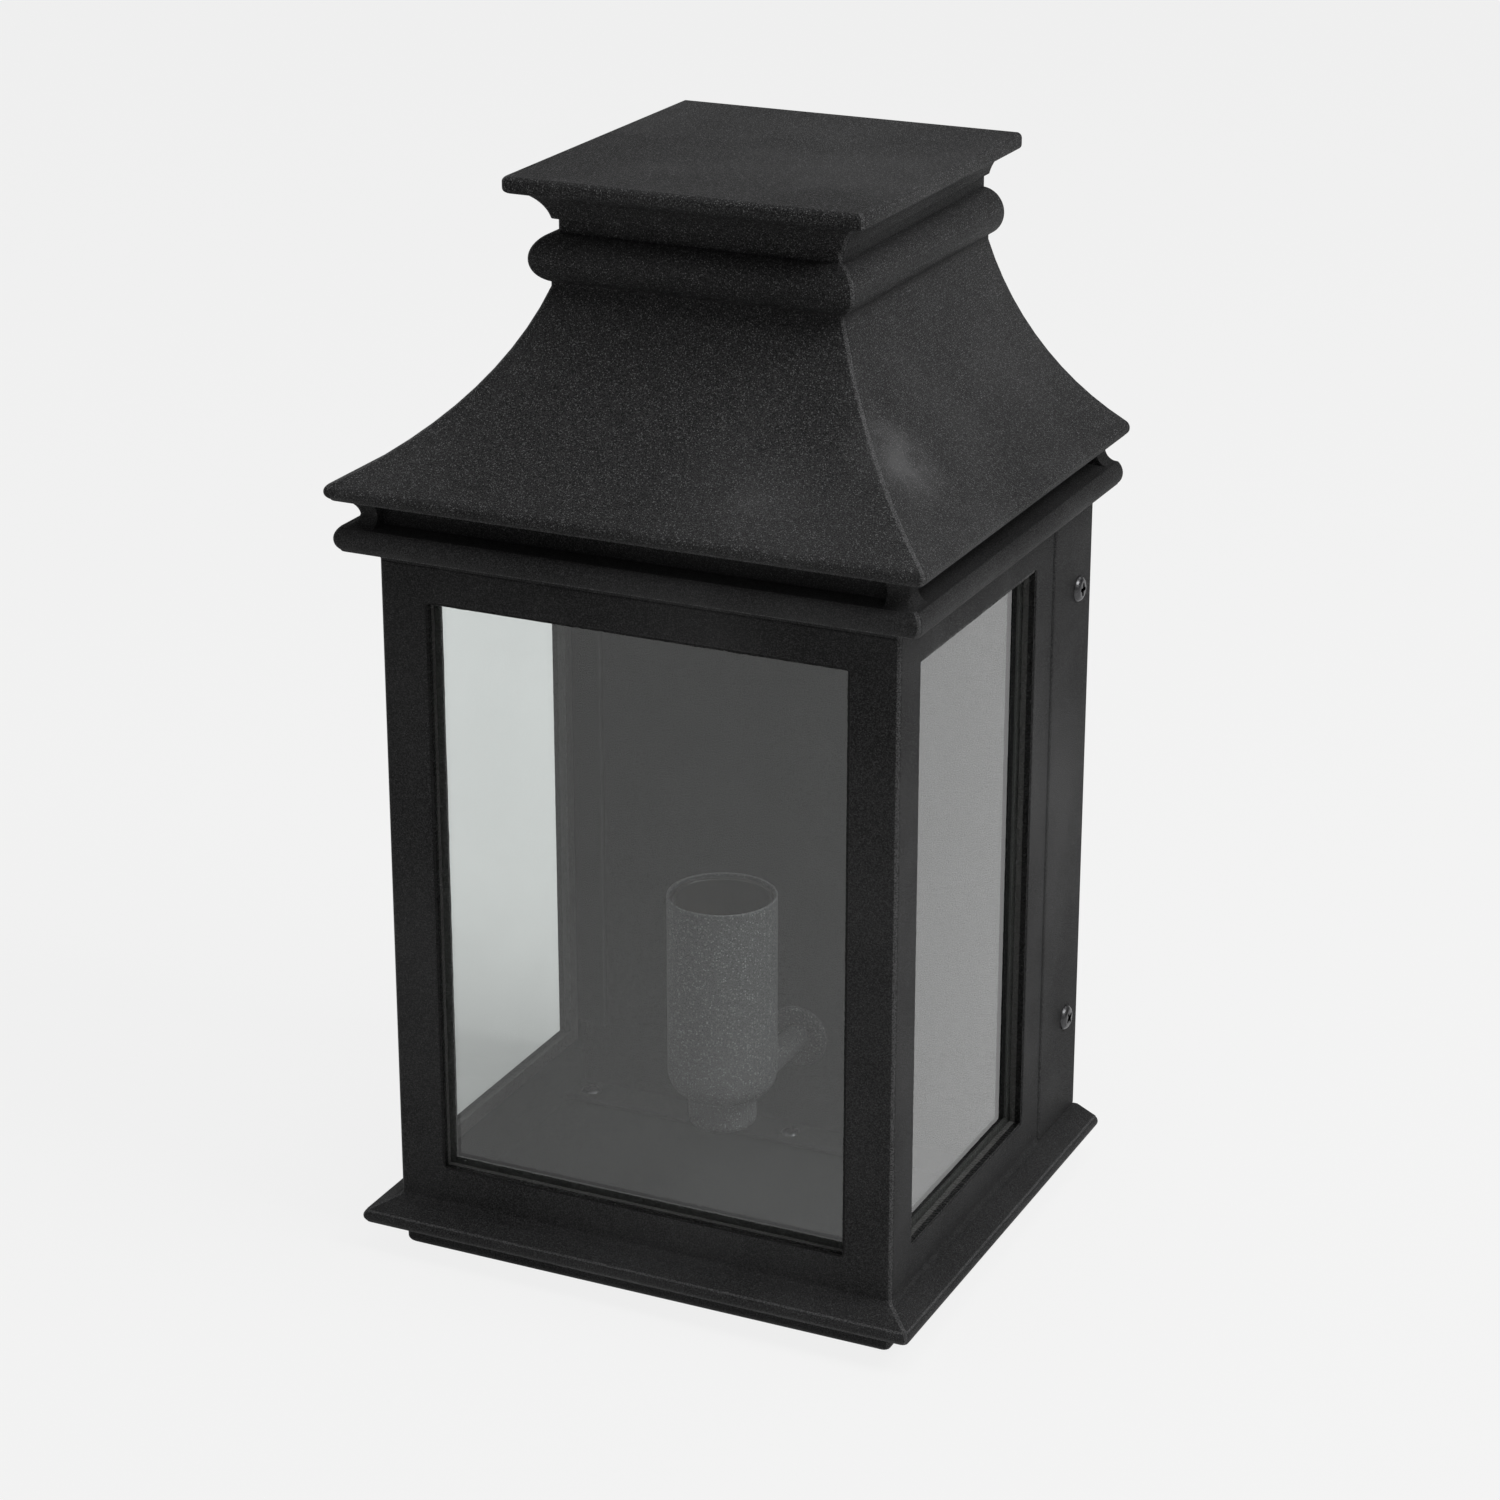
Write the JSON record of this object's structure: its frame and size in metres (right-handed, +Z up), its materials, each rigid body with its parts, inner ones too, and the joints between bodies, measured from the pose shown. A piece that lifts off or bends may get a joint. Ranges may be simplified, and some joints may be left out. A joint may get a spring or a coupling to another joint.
{
  "type": "wall lantern",
  "caption": "Black cast wall lantern with a concave hipped roof, glass windows, a cup lampholder on an arm and a folded back pan on a wall bracket.",
  "frame": {"origin": "middle of the four wall-fixing holes, in the wall plane", "axes": "+X to the right of someone facing the wall, +Y into the wall, +Z up"},
  "size_m": [0.228, 0.1947, 0.4037],
  "materials": {
    "black_coat": "fine textured matt black powder coat",
    "clear_glass": "clear float glass",
    "sealant": "cured black sealant",
    "zinc_plate": "zinc plated steel",
    "brass": "bright brass",
    "black_moulding": "moulded thermoset",
    "white_moulding": "moulded nylon",
    "black_rubber": "soft rubber"
  },
  "bodies": {
    "root": {"roof_casting": "black_coat", "body_casting": "black_coat", "back_pan": "black_coat", "lampholder_cup": "black_coat", "lamp_knuckle": "black_coat", "lamp_arm": "black_coat", "arm_rosette": "black_coat", "side_screws": "black_coat", "front_pane": "clear_glass", "left_pane": "clear_glass", "right_pane": "clear_glass", "front_seal": "sealant", "left_seal": "sealant", "right_seal": "sealant", "wall_bracket": "zinc_plate", "arm_washer": "zinc_plate", "arm_nut": "zinc_plate", "pan_screws": "zinc_plate", "roof_screws": "zinc_plate", "block_screws": "zinc_plate", "earth_washer": "zinc_plate", "earth_screw": "zinc_plate", "screw_shell": "brass", "centre_contact": "brass", "lamp_nipple": "brass", "terminal_screws": "brass", "lampholder_insert": "black_moulding", "lampholder_ring": "black_moulding", "terminal_block": "white_moulding", "cable_grommet": "black_rubber"}
  },
  "joints": []
}
